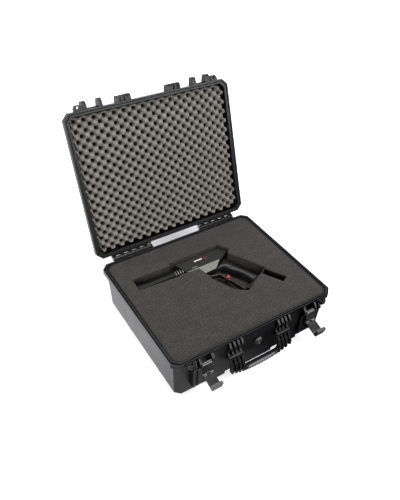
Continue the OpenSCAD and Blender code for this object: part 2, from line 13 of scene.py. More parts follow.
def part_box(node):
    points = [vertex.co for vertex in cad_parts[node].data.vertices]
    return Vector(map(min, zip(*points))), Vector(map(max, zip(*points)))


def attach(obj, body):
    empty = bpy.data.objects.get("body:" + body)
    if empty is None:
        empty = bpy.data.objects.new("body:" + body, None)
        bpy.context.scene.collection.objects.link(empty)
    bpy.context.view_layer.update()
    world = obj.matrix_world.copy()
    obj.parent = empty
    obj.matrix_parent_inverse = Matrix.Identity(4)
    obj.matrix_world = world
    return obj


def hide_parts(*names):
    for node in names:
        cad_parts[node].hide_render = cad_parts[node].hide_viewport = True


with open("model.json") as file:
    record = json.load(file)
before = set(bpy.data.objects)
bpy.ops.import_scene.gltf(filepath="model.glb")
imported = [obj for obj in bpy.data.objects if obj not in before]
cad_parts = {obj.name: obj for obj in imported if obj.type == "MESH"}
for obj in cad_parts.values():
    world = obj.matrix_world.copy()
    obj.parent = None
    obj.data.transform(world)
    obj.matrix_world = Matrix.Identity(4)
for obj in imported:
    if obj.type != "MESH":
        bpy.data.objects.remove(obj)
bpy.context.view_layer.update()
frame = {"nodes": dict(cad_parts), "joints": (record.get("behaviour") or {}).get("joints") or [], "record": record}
MM = 0.001
UP = Vector((0, 0, 1))
WELD_GAP = 0.002 * MM                 # points closer than this are one point
FLAT_ANGLE = math.radians(0.6)        # faces this nearly level with each other are one face

# ---------------------------------------------------------------- frame values

JOINTS = {j["name"]: j for j in frame["joints"]}
LID_JOINT = JOINTS["lid_hinge"]
HINGE_AT = Vector(LID_JOINT["pos_m"])
LID_OPEN = -math.radians(LID_JOINT["range_deg"][0])
TO_OPEN = (Matrix.Translation(HINGE_AT) @ Matrix.Rotation(-LID_OPEN, 4, "X")
           @ Matrix.Translation(-HINGE_AT))
TO_CLOSED = TO_OPEN.inverted()
LEVER_SLOPE = math.radians(16.1)       # fall of the latch levers' plates below level at rest


def closed_box(node):
    """Corners of a lid node's box with the lid turned shut."""
    points = [TO_CLOSED @ v.co for v in frame["nodes"][node].data.vertices]
    low = Vector([min(p[i] for p in points) for i in range(3)])
    high = Vector([max(p[i] for p in points) for i in range(3)])
    return low, high


# ---------------------------------------------------------------- material helpers

class Shader:
    """A node material under construction: every call adds nodes and returns an output socket."""

    def __init__(self, name):
        self.material = bpy.data.materials.new(name)
        self.material.use_nodes = True
        self.tree = self.material.node_tree
        self.bsdf = self.tree.nodes["Principled BSDF"]
        self.place = self.tree.nodes.new("ShaderNodeTexCoord")
        self.coords = self.place.outputs["Object"]

    def node(self, kind, inputs=None, **settings):
        made = self.tree.nodes.new(kind)
        for key, value in settings.items():
            setattr(made, key, value)
        for key, value in (inputs or {}).items():
            self.link(value, made.inputs[key])
        return made

    def link(self, value, socket):
        if isinstance(value, bpy.types.NodeSocket):
            self.tree.links.new(value, socket)
        else:
            socket.default_value = value

    def stretched(self, scale):
        return self.node("ShaderNodeMapping", {"Vector": self.coords, "Scale": scale}).outputs[0]

    def noise(self, scale, detail=4.0, rough=0.6, where=None):
        made = self.node("ShaderNodeTexNoise", {"Vector": where or self.coords, "Scale": scale,
                                                "Detail": detail, "Roughness": rough})
        return made.outputs["Fac"]

    def cells(self, scale, feature="F1"):
        made = self.node("ShaderNodeTexVoronoi", {"Vector": self.coords, "Scale": scale},
                         feature=feature)
        return made.outputs["Distance"]

    def ramp(self, value, stops):
        """Ramp between two stops, each a (position, grey) pair."""
        made = self.node("ShaderNodeValToRGB", {"Fac": value})
        for element, (at, grey) in zip(made.color_ramp.elements, stops):
            element.position = at
            element.color = (grey, grey, grey, 1)
        return made.outputs["Color"]

    def between(self, value, start, end, low, high, kind="LINEAR"):
        """low up to start, high from end on, and blended in between."""
        made = self.node("ShaderNodeMapRange", {"Value": value, "From Min": start, "From Max": end,
                                                "To Min": low, "To Max": high},
                         interpolation_type=kind)
        return made.outputs["Result"]

    def span(self, value, low, high):
        """Maps 0 to 1 onto low to high."""
        return self.between(value, 0.0, 1.0, low, high)

    def mix(self, factor, a, b):
        made = self.node("ShaderNodeMix", data_type="RGBA")
        self.link(factor, made.inputs["Factor"])
        self.link(a, made.inputs["A"])
        self.link(b, made.inputs["B"])
        return made.outputs["Result"]

    def math(self, operation, a, b=0.0):
        made = self.node("ShaderNodeMath", operation=operation)
        self.link(a, made.inputs[0])
        self.link(b, made.inputs[1])
        return made.outputs[0]

    def bump(self, height, distance, strength=1.0, under=None):
        made = self.node("ShaderNodeBump", {"Height": height, "Distance": distance,
                                            "Strength": strength})
        if under is not None:
            self.link(under, made.inputs["Normal"])
        return made.outputs["Normal"]

    def toward(self, direction):
        """Cosine between the surface's normal and a direction in the object's own frame."""
        facing = self.node("ShaderNodeVectorMath", operation="DOT_PRODUCT")
        self.link(self.place.outputs["Normal"], facing.inputs[0])
        facing.inputs[1].default_value = direction
        return facing.outputs["Value"]

    def occlusion(self, distance, inside=False):
        """Open-ness of the surface within a distance; measured inside the solid, it is low at edges."""
        made = self.node("ShaderNodeAmbientOcclusion", {"Distance": distance}, samples=6,
                         inside=inside, only_local=True)
        return made.outputs["AO"]

    def edges(self, width):
        """1 along the convex edges of the object, broken up a little, and 0 away from them."""
        mask = self.ramp(self.occlusion(width, inside=True), [(0.5, 1.0), (0.86, 0.0)])
        breaks = self.ramp(self.noise(90.0, 5.0, 0.7), [(0.3, 0.4), (0.55, 1.0)])
        return self.math("MULTIPLY", mask, breaks)

    def set(self, **values):
        """Fills the shader's inputs, named with _ for a space, and returns the material."""
        for key, value in values.items():
            self.link(value, self.bsdf.inputs[key.replace("_", " ")])
        return self.material


def rgb(r, g, b):
    """A colour with the opaque alpha that sockets expect."""
    return (r, g, b, 1.0)


def shade(colour, factor, lift=0.0):
    """A colour multiplied by a factor, with a little grey added."""
    return rgb(*[factor * c + lift for c in colour])


EDGE_WEAR_AND_HIGHLIGHT_WIDTH = 1.3 * MM
RECESS_DEPTH = 12.0 * MM     # over this distance painted shade darkens the gaps between ribs
RECESS_PAINTED_SHADE = (0.001, 0.001, 0.001)


def moulded_plastic(name, dark, light, rough=0.30, grain=1400.0, grain_depth=0.05 * MM, shine=0.24,
                    worn=0.095):
    """Satin moulded plastic: fine pebble grain, cloudy gloss, rub marks, pale edges that are partly wear and
    partly a painted highlight, and painted shade in recesses.

    grain is in cells per metre, and worn is the grey of its pale edges, partly edge wear and partly a painted
    highlight.
    """
    s = Shader(name)
    clouds = s.noise(14.0, 5.0)
    rubs = s.noise(60.0, 6.0, 0.7, s.stretched((1.0, 1.0, 9.0)))
    speck = s.noise(grain, 2.0, 0.5)
    colour = s.mix(s.ramp(clouds, [(0.35, 0.0), (0.7, 1.0)]), rgb(*dark), rgb(*light))
    colour = s.mix(s.ramp(rubs, [(0.62, 0.0), (0.75, 0.35)]), colour, shade(light, 1.6, 0.002))
    # Pale edges: partly edge wear, partly a painted highlight along the convex edges.
    edges = s.edges(EDGE_WEAR_AND_HIGHLIGHT_WIDTH)
    colour = s.mix(edges, colour, rgb(worn, worn, 1.04 * worn))
    # Painted shade: the colour darkens in recesses and between ribs, and the specular level drops there too.
    open_air = s.ramp(s.occlusion(RECESS_DEPTH), [(0.25, 0.08), (0.62, 1.0)])
    colour = s.mix(open_air, rgb(*RECESS_PAINTED_SHADE), colour)
    gloss = s.math("ADD", s.span(clouds, rough - 0.07, rough + 0.07), s.span(rubs, -0.04, 0.05))
    glint = s.math("MULTIPLY", open_air, s.span(edges, shine, 1.8 * shine))
    normal = s.bump(speck, grain_depth)
    normal = s.bump(s.cells(grain * 0.45, "SMOOTH_F1"), grain_depth, 0.8, normal)
    return s.set(Base_Color=colour, Roughness=gloss, Normal=normal, Specular_IOR_Level=glint)


def latch_finish(name, dark, light, slope):
    """Glossy latch plastic with a rough sloping lever plate, upward faces painted pale as a highlight, and pale
    edges that are partly wear and partly a painted highlight.
    """
    s = Shader(name)
    clouds = s.noise(40.0, 4.0)
    speck = s.noise(900.0, 3.0)
    plate = s.ramp(s.toward((0, -math.sin(slope), math.cos(slope))), [(0.95, 0.0), (0.985, 1.0)])
    colour = s.mix(s.ramp(clouds, [(0.35, 0.0), (0.7, 1.0)]), rgb(*dark), rgb(*light))
    worn = s.ramp(s.noise(220.0, 6.0, 0.8), [(0.5, 0.0), (0.75, 0.6)])
    colour = s.mix(s.math("MULTIPLY", plate, worn), colour, shade(light, 1.5))
    # Painted highlight: faces turned upward, away from the plate, are painted pale grey.
    top_highlight = s.ramp(s.toward((0, 0, 1)), [(0.62, 0.0), (0.82, 1.0)])
    top_highlight = s.math("MULTIPLY", top_highlight, s.math("SUBTRACT", 1.0, plate))
    colour = s.mix(top_highlight, colour, rgb(0.26, 0.26, 0.26))
    # Pale edges: partly edge wear, partly a painted highlight.
    colour = s.mix(s.edges(EDGE_WEAR_AND_HIGHLIGHT_WIDTH), colour, rgb(0.06, 0.06, 0.062))
    return s.set(Base_Color=colour, Roughness=s.span(plate, 0.24, 0.62),
                 Specular_IOR_Level=s.span(plate, 0.55, 0.18),
                 Normal=s.bump(speck, 0.08 * MM, s.span(plate, 0.2, 1.0)))


PIT_DEPTH = 0.5 * MM
FOAM_SPECULAR = 0.1
FOAM_SHEEN = 0.1


def open_cell_foam(name, dark, light, cell, cavity):
    """Open-cell foam: pitted surface, mottled tone, soft sheen at grazing angles.

    cell is in pits per metre, and cavity is the distance over which the foam's hollows darken.
    """
    s = Shader(name)
    mottled = s.noise(210.0, 6.0, 0.8)
    blotch = s.noise(38.0, 4.0, 0.6)
    pits = s.cells(cell)
    colour = s.mix(s.ramp(mottled, [(0.38, 0.0), (0.62, 1.0)]), rgb(*dark), rgb(*light))
    colour = s.mix(s.ramp(pits, [(0.0, 0.6), (0.5, 0.0)]), colour, shade(dark, 0.35))
    colour = s.mix(s.ramp(blotch, [(0.4, 0.3), (0.65, 0.0)]), colour, shade(dark, 0.7))
    open_air = s.ramp(s.occlusion(cavity), [(0.36, 0.05), (0.84, 1.0)])
    colour = s.mix(open_air, shade(dark, 0.12), colour)
    normal = s.bump(pits, PIT_DEPTH)
    normal = s.bump(mottled, PIT_DEPTH * 1.5, 0.7, normal)
    return s.set(Base_Color=colour, Roughness=0.95, Normal=normal,
                 Specular_IOR_Level=s.math("MULTIPLY", open_air, FOAM_SPECULAR),
                 Sheen_Weight=s.math("MULTIPLY", open_air, FOAM_SHEEN), Sheen_Roughness=0.6)


def brushed_metal(name, tone, rough=0.32):
    """Turned or drawn metal with fine lines along its length and cloudy tarnish."""
    s = Shader(name)
    lines = s.noise(220.0, 5.0, 0.6, s.stretched((1.0, 14.0, 14.0)))
    tarnish = s.noise(70.0, 4.0)
    colour = s.mix(s.span(tarnish, 0.0, 0.6), rgb(*tone), shade(tone, 0.7))
    return s.set(Base_Color=colour, Metallic=1.0, Roughness=s.span(lines, rough - 0.1, rough + 0.15),
                 Normal=s.bump(lines, 0.02 * MM))


def painted_metal(name, tone, rough=0.35):
    """Metal under a thin coat with a slight orange-peel surface and stains."""
    s = Shader(name)
    peel = s.noise(500.0, 2.0)
    stain = s.noise(60.0, 5.0, 0.7)
    colour = s.mix(s.ramp(stain, [(0.35, 0.0), (0.75, 1.0)]), rgb(*tone), shade(tone, 0.72))
    return s.set(Base_Color=colour, Metallic=0.55, Roughness=s.span(stain, rough - 0.1, rough + 0.12),
                 Normal=s.bump(peel, 0.03 * MM))


def rubber(name, tone, rough=0.7):
    """Matt rubber with a pale bloom."""
    s = Shader(name)
    bloom = s.noise(120.0, 5.0, 0.7)
    colour = s.mix(s.ramp(bloom, [(0.4, 0.0), (0.8, 1.0)]), rgb(*tone), shade(tone, 1.6, 0.01))
    return s.set(Base_Color=colour, Roughness=s.span(bloom, rough - 0.12, rough + 0.1),
                 Normal=s.bump(s.noise(1500.0, 2.0), 0.05 * MM))


def gloss_plastic(name, tone, rough=0.18):
    """Smooth coated plastic or ink with a faint ripple."""
    s = Shader(name)
    ripple = s.noise(90.0, 3.0)
    colour = s.mix(s.span(ripple, 0.0, 0.5), rgb(*tone), shade(tone, 0.7))
    return s.set(Base_Color=colour, Roughness=s.span(ripple, rough - 0.06, rough + 0.08),
                 Coat_Weight=0.5, Normal=s.bump(ripple, 0.04 * MM))


def clear_lens(name):
    """Slightly smeared clear glass."""
    s = Shader(name)
    smear = s.noise(150.0, 4.0)
    return s.set(Base_Color=rgb(0.55, 0.62, 0.7), Roughness=s.span(smear, 0.02, 0.12),
                 Transmission_Weight=0.85, IOR=1.5)


def circuit_board(name):
    """Green board with a network of paler tracks."""
    s = Shader(name)
    tracks = s.cells(160.0, "DISTANCE_TO_EDGE")
    colour = s.mix(s.ramp(tracks, [(0.04, 1.0), (0.07, 0.0)]), rgb(0.01, 0.10, 0.03),
                   rgb(0.05, 0.28, 0.08))
    return s.set(Base_Color=colour, Roughness=0.35, Normal=s.bump(tracks, 0.05 * MM))


MATERIALS = {
    "case_plastic": moulded_plastic("case_plastic", (0.0022, 0.0022, 0.0026),
                                    (0.0042, 0.0042, 0.005)),
    "steel_pin": brushed_metal("steel_pin", (0.62, 0.62, 0.64)),
    "screw_black": painted_metal("screw_black", (0.05, 0.05, 0.05)),
    "seal_rubber": rubber("seal_rubber", (0.008, 0.008, 0.008)),
    "base_foam": open_cell_foam("base_foam", (0.0178, 0.0166, 0.0150), (0.060, 0.0556, 0.0498),
                                cell=900.0, cavity=55.0 * MM),
    "lid_foam": open_cell_foam("lid_foam", (0.158, 0.144, 0.129), (0.282, 0.257, 0.230),
                               cell=700.0, cavity=10.0 * MM),
    "latch_plastic": latch_finish("latch_plastic", (0.010, 0.010, 0.010), (0.020, 0.020, 0.019),
                                  LEVER_SLOPE),
    "grip_insert": rubber("grip_insert", (0.28, 0.28, 0.285), 0.35),
    "tool_plastic": moulded_plastic("tool_plastic", (0.006, 0.006, 0.006), (0.010, 0.010, 0.010),
                                    rough=0.34, grain=1800.0, grain_depth=0.03 * MM, shine=0.4,
                                    worn=0.03),
    # A darker, duller copy of the tool plastic: painted shade for the barrel lying in its slot.
    "tool_plastic_shaded": moulded_plastic("tool_plastic_shaded", (0.003, 0.003, 0.003), (0.005, 0.005, 0.005),
                                      rough=0.4, grain=1500.0, shine=0.2, worn=0.02),
    "tool_cover": moulded_plastic("tool_cover", (0.013, 0.013, 0.012), (0.018, 0.018, 0.017),
                                  rough=0.5, grain=1100.0, grain_depth=0.06 * MM, shine=0.35,
                                  worn=0.06),
    "tool_metal": painted_metal("tool_metal", (0.36, 0.37, 0.32)),
    "tool_ring": brushed_metal("tool_ring", (0.20, 0.20, 0.19)),
    "mark_light": gloss_plastic("mark_light", (0.60, 0.60, 0.59), 0.3),
    "mark_red": gloss_plastic("mark_red", (0.13, 0.012, 0.012), 0.3),
    "button_red": gloss_plastic("button_red", (0.20, 0.004, 0.012), 0.14),
    "circuit_green": circuit_board("circuit_green"),
    "battery_wrap": gloss_plastic("battery_wrap", (0.05, 0.12, 0.35), 0.35),
    "lens_glass": clear_lens("lens_glass"),
}


def paint(obj, slot_name, finish=None):
    """Gives an object the material named by its record slot, or another finish."""
    obj.data.materials.clear()
    obj.data.materials.append(MATERIALS[finish or slot_name])


# ---------------------------------------------------------------- CAD nodes: finish and soft edges

SOFTENED_ANGLE = math.radians(32)     # edges that turn by more than this are rounded
EDGE_RADIUS = {"base_shell": 1.1 * MM, "lid_shell": 1.1 * MM, "handle_frame": 1.0 * MM,
               "latch_lever_left": 0.9 * MM, "latch_lever_right": 0.9 * MM,
               "latch_link_left": 0.7 * MM, "latch_link_right": 0.7 * MM}
SMALL_EDGE = 0.3 * MM                 # radius on every other node
# Nodes whose rounding leaves slivers, which are merged when they are narrower than this
SLIVERED = ("valve_knob", "latch_lever_left", "latch_lever_right")
SLIVER_WIDTH = 0.03 * MM
# Nodes that don't take the finish named by their slot: the barrel and muzzle cap take a darker, duller copy of the
# tool plastic as painted shade
OWN_FINISH = {"tool_barrel": "tool_plastic_shaded", "tool_muzzle_cap": "tool_plastic_shaded"}


def soften(obj, radius):
    """Rounds the moulded edges of a CAD node with modifiers only."""
    weld = obj.modifiers.new("weld", "WELD")
    weld.merge_threshold = WELD_GAP
    flat = obj.modifiers.new("flat", "DECIMATE")
    flat.decimate_type = "DISSOLVE"
    flat.angle_limit = FLAT_ANGLE
    bevel = obj.modifiers.new("bevel", "BEVEL")
    bevel.width = radius
    bevel.segments = 2
    bevel.limit_method = "ANGLE"
    bevel.angle_limit = SOFTENED_ANGLE
    bevel.use_clamp_overlap = True
    if obj.name in SLIVERED:
        clean = obj.modifiers.new("clean", "WELD")
        clean.merge_threshold = SLIVER_WIDTH
    even = obj.modifiers.new("even", "WEIGHTED_NORMAL")
    even.weight = 100
    obj.data.shade_smooth()


for part in frame["record"]["subparts"]:
    cad = frame["nodes"][part["node"]]
    paint(cad, part["material_slot"], OWN_FINISH.get(part["node"]))
    soften(cad, EDGE_RADIUS.get(part["node"], SMALL_EDGE))


# ---------------------------------------------------------------- mesh helpers

def finish_mesh(bm, name, slot_name, finish=None):
    """Turns a bmesh into a named, painted and smooth-shaded object of the scene."""
    mesh = bpy.data.meshes.new(name)
    bm.normal_update()
    bm.to_mesh(mesh)
    bm.free()
    obj = bpy.data.objects.new(name, mesh)
    bpy.context.scene.collection.objects.link(obj)
    mesh.shade_smooth()
    paint(obj, slot_name, finish)
    return obj


def join_loops(bm, loops):
    """Bands of faces between closed loops of equally many points."""
    count = len(loops[0])
    for lower, upper in zip(loops, loops[1:]):
        for i in range(count):
            k = (i + 1) % count
            bm.faces.new((lower[i], lower[k], upper[k], upper[i]))


def sweep(bm, stations):
    """Closed tube through stations (centre, across, up, section), with flat ends."""
    loops = []
    for centre, across, up, section in stations:
        loops.append([bm.verts.new(centre + across * u + up * v) for u, v in section])
    join_loops(bm, loops)
    bm.faces.new(list(reversed(loops[0])))
    bm.faces.new(loops[-1])


def superellipse(half_w, half_h, power, count):
    """Closed section as (across, up) pairs; a power of 2 is an ellipse, more is squarer."""
    section = []
    for i in range(count):
        a = math.tau * i / count
        c, s = math.cos(a), math.sin(a)
        section.append((half_w * math.copysign(abs(c) ** (2 / power), c),
                        half_h * math.copysign(abs(s) ** (2 / power), s)))
    return section


def smooth_line(points, samples):
    """Points along a Catmull-Rom curve through the given points."""
    padded = [2 * points[0] - points[1]] + points + [2 * points[-1] - points[-2]]
    line = []
    spans = len(points) - 1
    for i in range(samples + 1):
        at = i / samples * spans
        k = min(int(at), spans - 1)
        t = at - k
        a, b, c, d = padded[k:k + 4]
        line.append(0.5 * ((2 * b) + (c - a) * t + (2 * a - 5 * b + 4 * c - d) * t * t
                           + (3 * b - a - 3 * c + d) * t ** 3))
    return line


def flat_points(pairs, z):
    """Points at height z from (x, y) pairs in millimetres."""
    return [Vector((x * MM, y * MM, z)) for x, y in pairs]


# ---------------------------------------------------------------- egg-crate foam in the lid

CRATE_PITCH_X = 30.0 * MM
CRATE_PITCH_Y = 28.5 * MM
CRATE_DEPTH = 26.0 * MM
CRATE_SHARPNESS = 1.8          # over 1 makes the tips broad and the holes narrow
CRATE_CELL = 2.1 * MM          # spacing of the mesh's points
CRATE_TIP_GAP = 0.6 * MM       # from the CAD block's face to the tips
CRATE_CORNER_CUT = 13.0 * MM
CRATE_EDGE_ROUND = 7.0 * MM
CRATE_UNEVENNESS = 0.5 * MM
CRATE_WOBBLES = 60             # per metre
# The side walls are upright for a share of their height and then draw in towards the back
CRATE_WALL_LEVELS = (0.4, 0.7, 1.0)
CRATE_WALL_UPRIGHT = 0.3
CRATE_WALL_TAPER = 0.025
# How far each border draws in between two tips, and how far from the border that reaches
SCALLOP_RIGHT = 8.0 * MM
SCALLOP_LEFT = 4.0 * MM
SCALLOP_HINGE = 7.0 * MM
SCALLOP_FRONT = 1.0 * MM
SCALLOP_REACH = 16.0 * MM


def crate_drop(x, y):
    """How far the egg-crate surface lies behind its tips, 0 to 1.

    x and y are distances in from the right-hand and the hinge-side border.
    """
    wave = math.cos(math.tau * x / CRATE_PITCH_X) * math.cos(math.tau * y / CRATE_PITCH_Y)
    return (0.5 - 0.5 * wave) ** CRATE_SHARPNESS


def near_border(distance):
    """1 at the foam's border, falling smoothly to 0 at SCALLOP_REACH in from it."""
    t = min(1.0, max(0.0, distance / SCALLOP_REACH))
    return 1 - t * t * (3 - 2 * t)


def border_shift(at, half, drop, positive, negative):
    """Shift of a border point towards the middle; the two sides draw in by their own amounts."""
    pull = positive if at > 0 else negative
    return -math.copysign(pull * drop * near_border(half - abs(at)), at)


def crate_point(x, y, half_x, half_y, reach, tip_z):
    """Point of the egg-crate surface at (x, y), where reach is half the foam's depth at this x."""
    inset = min(half_x - abs(x), reach - abs(y), CRATE_EDGE_ROUND) / CRATE_EDGE_ROUND
    rounding = CRATE_EDGE_ROUND * (1 - math.sqrt(max(0.0, 1 - (1 - inset) ** 2)))
    wobble = CRATE_UNEVENNESS * noise.noise(Vector((x, y, 0)) * CRATE_WOBBLES)
    drop = CRATE_DEPTH * crate_drop(half_x - x, half_y - y)
    shift_x = border_shift(x, half_x, crate_drop(0, half_y - y), SCALLOP_RIGHT, SCALLOP_LEFT)
    shift_y = border_shift(y, reach, crate_drop(half_x - x, 0), SCALLOP_HINGE, SCALLOP_FRONT)
    return (x + shift_x, y + shift_y, tip_z + drop + rounding + wobble)


def close_to_back(bm, border, back_z):
    """Side walls from the border of the egg-crate surface to the foam's flat back."""
    loops = [border]
    for share in CRATE_WALL_LEVELS:
        shrink = 1 - CRATE_WALL_TAPER * max(0.0, share - CRATE_WALL_UPRIGHT)
        loops.append([bm.verts.new((v.co.x * shrink, v.co.y * shrink,
                                    v.co.z + (back_z - v.co.z) * share)) for v in border])
    join_loops(bm, loops)
    bm.faces.new(loops[-1])


def build_lid_foam():
    """Egg-crate foam, made as in the shut lid with its tips down, then turned open with the lid."""
    low, high = closed_box("lid_foam")
    half_x, half_y = high.x, high.y
    columns = round(2 * half_x / CRATE_CELL)
    rows = round(2 * half_y / CRATE_CELL)
    bm = bmesh.new()
    grid = []
    for i in range(columns + 1):
        x = -half_x + 2 * half_x * i / columns
        reach = half_y - max(0.0, abs(x) - (half_x - CRATE_CORNER_CUT))
        line = []
        for k in range(rows + 1):
            y = reach * (2 * k / rows - 1)
            line.append(bm.verts.new(crate_point(x, y, half_x, half_y, reach, low.z + CRATE_TIP_GAP)))
        grid.append(line)
    for i in range(columns):
        for k in range(rows):
            bm.faces.new((grid[i][k], grid[i][k + 1], grid[i + 1][k + 1], grid[i + 1][k]))
    border = ([grid[0][k] for k in range(rows + 1)]
              + [grid[i][rows] for i in range(1, columns + 1)]
              + [grid[columns][k] for k in range(rows - 1, -1, -1)]
              + [grid[i][0] for i in range(columns - 1, 0, -1)])
    close_to_back(bm, border, high.z)
    bmesh.ops.recalc_face_normals(bm, faces=bm.faces)
    bmesh.ops.transform(bm, matrix=TO_OPEN, verts=bm.verts)
    foam = finish_mesh(bm, "lid_egg_crate_foam", "lid_foam")
    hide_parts("lid_foam")
    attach(foam, "lid")


# ---------------------------------------------------------------- cut foam in the base

CUT_EDGE_ANGLE = math.radians(30)     # edges that turn by more than this are cut edges
CUT_UNEVENNESS = 0.25 * MM
CUT_WOBBLES = 35                      # per metre
ON_PLANE = 1e-7                       # points this near a dividing plane count as on it


def divide_faces(bm, low, high, cell):
    """Divides the faces by evenly spaced planes across each axis."""
    for axis in range(3):
        steps = int((high[axis] - low[axis]) / cell)
        away = Vector((0, 0, 0))
        away[axis] = 1
        for i in range(1, steps):
            at = away * (low[axis] + (high[axis] - low[axis]) * i / steps)
            bmesh.ops.bisect_plane(bm, geom=bm.verts[:] + bm.edges[:] + bm.faces[:], dist=ON_PLANE,
                                   plane_co=at, plane_no=away)


def build_cut_foam(node, name, edge, cell):
    """Foam block from a CAD block: its cut edges are rounded and its faces a little uneven."""
    low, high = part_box(node)
    bm = bmesh.new()
    bm.from_mesh(frame["nodes"][node].data)
    bmesh.ops.remove_doubles(bm, verts=bm.verts, dist=WELD_GAP)
    bmesh.ops.dissolve_limit(bm, angle_limit=FLAT_ANGLE, verts=bm.verts, edges=bm.edges)
    sharp = [e for e in bm.edges if e.is_manifold and e.calc_face_angle(0) > CUT_EDGE_ANGLE]
    bmesh.ops.bevel(bm, geom=sharp, offset=edge, segments=2, profile=0.5, affect="EDGES",
                    clamp_overlap=True)
    divide_faces(bm, low, high, cell)
    bm.normal_update()
    for v in bm.verts:
        v.co += v.normal * CUT_UNEVENNESS * noise.noise(v.co * CUT_WOBBLES)
    foam = finish_mesh(bm, name, "base_foam")
    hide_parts(node)
    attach(foam, "base")


build_lid_foam()
build_cut_foam("base_foam", "base_cut_foam", edge=1.4 * MM, cell=12 * MM)
build_cut_foam("base_foam_pad", "base_pad_foam", edge=2.0 * MM, cell=20 * MM)

# ---------------------------------------------------------------- instrument's grip

# Edges of the grip seen from above, from its neck to its end, in millimetres of the CAD frame
GRIP_FRONT = [(44, 51), (58, 52), (68, 43), (82, 22), (100, -14), (111, -44)]
GRIP_BACK = [(97, 84), (96, 72), (97, 57), (106, 24), (120, -6), (137, -38)]
GRIP_STATIONS = 40
GRIP_STEPS = 28
GRIP_SEAM = 0.05 * MM          # from the middle plane to each half
GRIP_THINNEST = 0.1 * MM
GROOVES = 3
GROOVE_DEPTH = 1.1 * MM
NECK_THICKNESS = 0.72          # at the neck, as a share of the full thickness
NECK_LENGTH = 0.35             # of the grip's length, over which it thickens to the full
END_THINNING = 0.06


def groove_at(t):
    """Depth of the finger grooves at a share t of the grip's length; they fade out at both ends."""
    return GROOVE_DEPTH * math.sin(math.tau * GROOVES * t) * min(1.0, 4 * t, 4 * (1 - t))


def thickness_at(t):
    """Share of the full thickness at a share t of the grip's length."""
    neck = NECK_THICKNESS + (1 - NECK_THICKNESS) * min(1.0, t / NECK_LENGTH)
    return neck * (1 - END_THINNING * t)


def grip_rows(bm, middle, half_t, side):
    """Points of one half of the grip: rows across it, from the front edge to the back edge."""
    front = smooth_line(flat_points(GRIP_FRONT, middle), GRIP_STATIONS)
    back = smooth_line(flat_points(GRIP_BACK, middle), GRIP_STATIONS)
    rows = []
    for i in range(GRIP_STATIONS + 1):
        t = i / GRIP_STATIONS
        across = back[i] - front[i]
        groove = across.normalized() * groove_at(t)
        row = []
        for k in range(GRIP_STEPS + 1):
            u = k / GRIP_STEPS
            rise = half_t * thickness_at(t) * (1 - abs(2 * u - 1) ** 2.6) ** (1 / 2.3)
            at = front[i] + across * u + groove * (1 - u) ** 2
            row.append(bm.verts.new(at + UP * side * max(GRIP_THINNEST, rise)))
        rows.append(row)
    return rows


def build_grip():
    """Rounded pistol grip lofted between its front and back edges, split at the middle plane."""
    low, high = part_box("tool_grip_lower")[0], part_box("tool_grip_upper")[1]
    middle = (low.z + high.z) / 2
    half_t = (high.z - low.z) / 2
    for half, side in (("upper", 1), ("lower", -1)):
        bm = bmesh.new()
        rows = grip_rows(bm, middle, half_t, side)
        for i in range(GRIP_STATIONS):
            for k in range(GRIP_STEPS):
                bm.faces.new((rows[i][k], rows[i + 1][k], rows[i + 1][k + 1], rows[i][k + 1]))
        edge = rows[0] + [r[-1] for r in rows[1:]] + rows[-1][-2::-1] + [r[0] for r in rows[-2:0:-1]]
        seam = [bm.verts.new((v.co.x, v.co.y, middle + side * GRIP_SEAM)) for v in edge]
        join_loops(bm, [edge, seam])
        bm.faces.new(seam)
        bmesh.ops.recalc_face_normals(bm, faces=bm.faces)
        grip = finish_mesh(bm, "instrument_grip_" + half, "tool_plastic")
        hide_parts("tool_grip_" + half)
        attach(grip, "tool")


# ---------------------------------------------------------------- instrument's finger guard

# Middle line of the guard seen from above, in millimetres of the CAD frame
GUARD_LINE = [(-4, 46), (12, 37), (26, 34), (38, 30), (46, 18), (51.5, 5), (56, -12), (62, -34),
              (70, -60)]
GUARD_STATIONS = 64
GUARD_HALF_WIDTH = 4.6 * MM
GUARD_SWELL = 2.6 * MM         # extra half width beside the button
GUARD_SWELL_REACH = 11 * MM
SEAT_WALL = 1.8 * MM
SEAT_POINTS = 40
BUTTON_GAP = 0.15 * MM


def guard_bar(bm, middle, half_h, seat):
    """The guard's bar, wider and lower beside the button's seat."""
    line = smooth_line(flat_points(GUARD_LINE, middle), GUARD_STATIONS)
    stations = []
    for i, at in enumerate(line):
        ahead = (line[min(i + 1, GUARD_STATIONS)] - line[max(i - 1, 0)]).normalized()
        near = math.exp(-((at - seat).length / GUARD_SWELL_REACH) ** 2)
        half_w = GUARD_HALF_WIDTH + GUARD_SWELL * near
        section = superellipse(half_w, half_h * (0.94 - 0.2 * near), 2.5, 28)
        stations.append((at, UP.cross(ahead), UP, section))
    sweep(bm, stations)


def guard_seat(bm, half_h, seat, button_r):
    """Raised round seat with a recess for the button, turned from (radius, height) pairs."""
    seat_r = button_r + SEAT_WALL
    well_r = button_r + BUTTON_GAP
    profile = [(seat_r - 0.8 * MM, -0.8 * half_h), (seat_r, -0.6 * half_h), (seat_r, 0.72 * half_h),
               (seat_r - 0.9 * MM, 0.92 * half_h), (well_r, 0.92 * half_h), (well_r, 0.55 * half_h)]
    loops = []
    for radius, z in profile:
        angles = [math.tau * i / SEAT_POINTS for i in range(SEAT_POINTS)]
        loops.append([bm.verts.new(seat + Vector((radius * math.cos(a), radius * math.sin(a), z)))
                      for a in angles])
    join_loops(bm, loops)
    bm.faces.new(list(reversed(loops[0])))
    bm.faces.new(loops[-1])


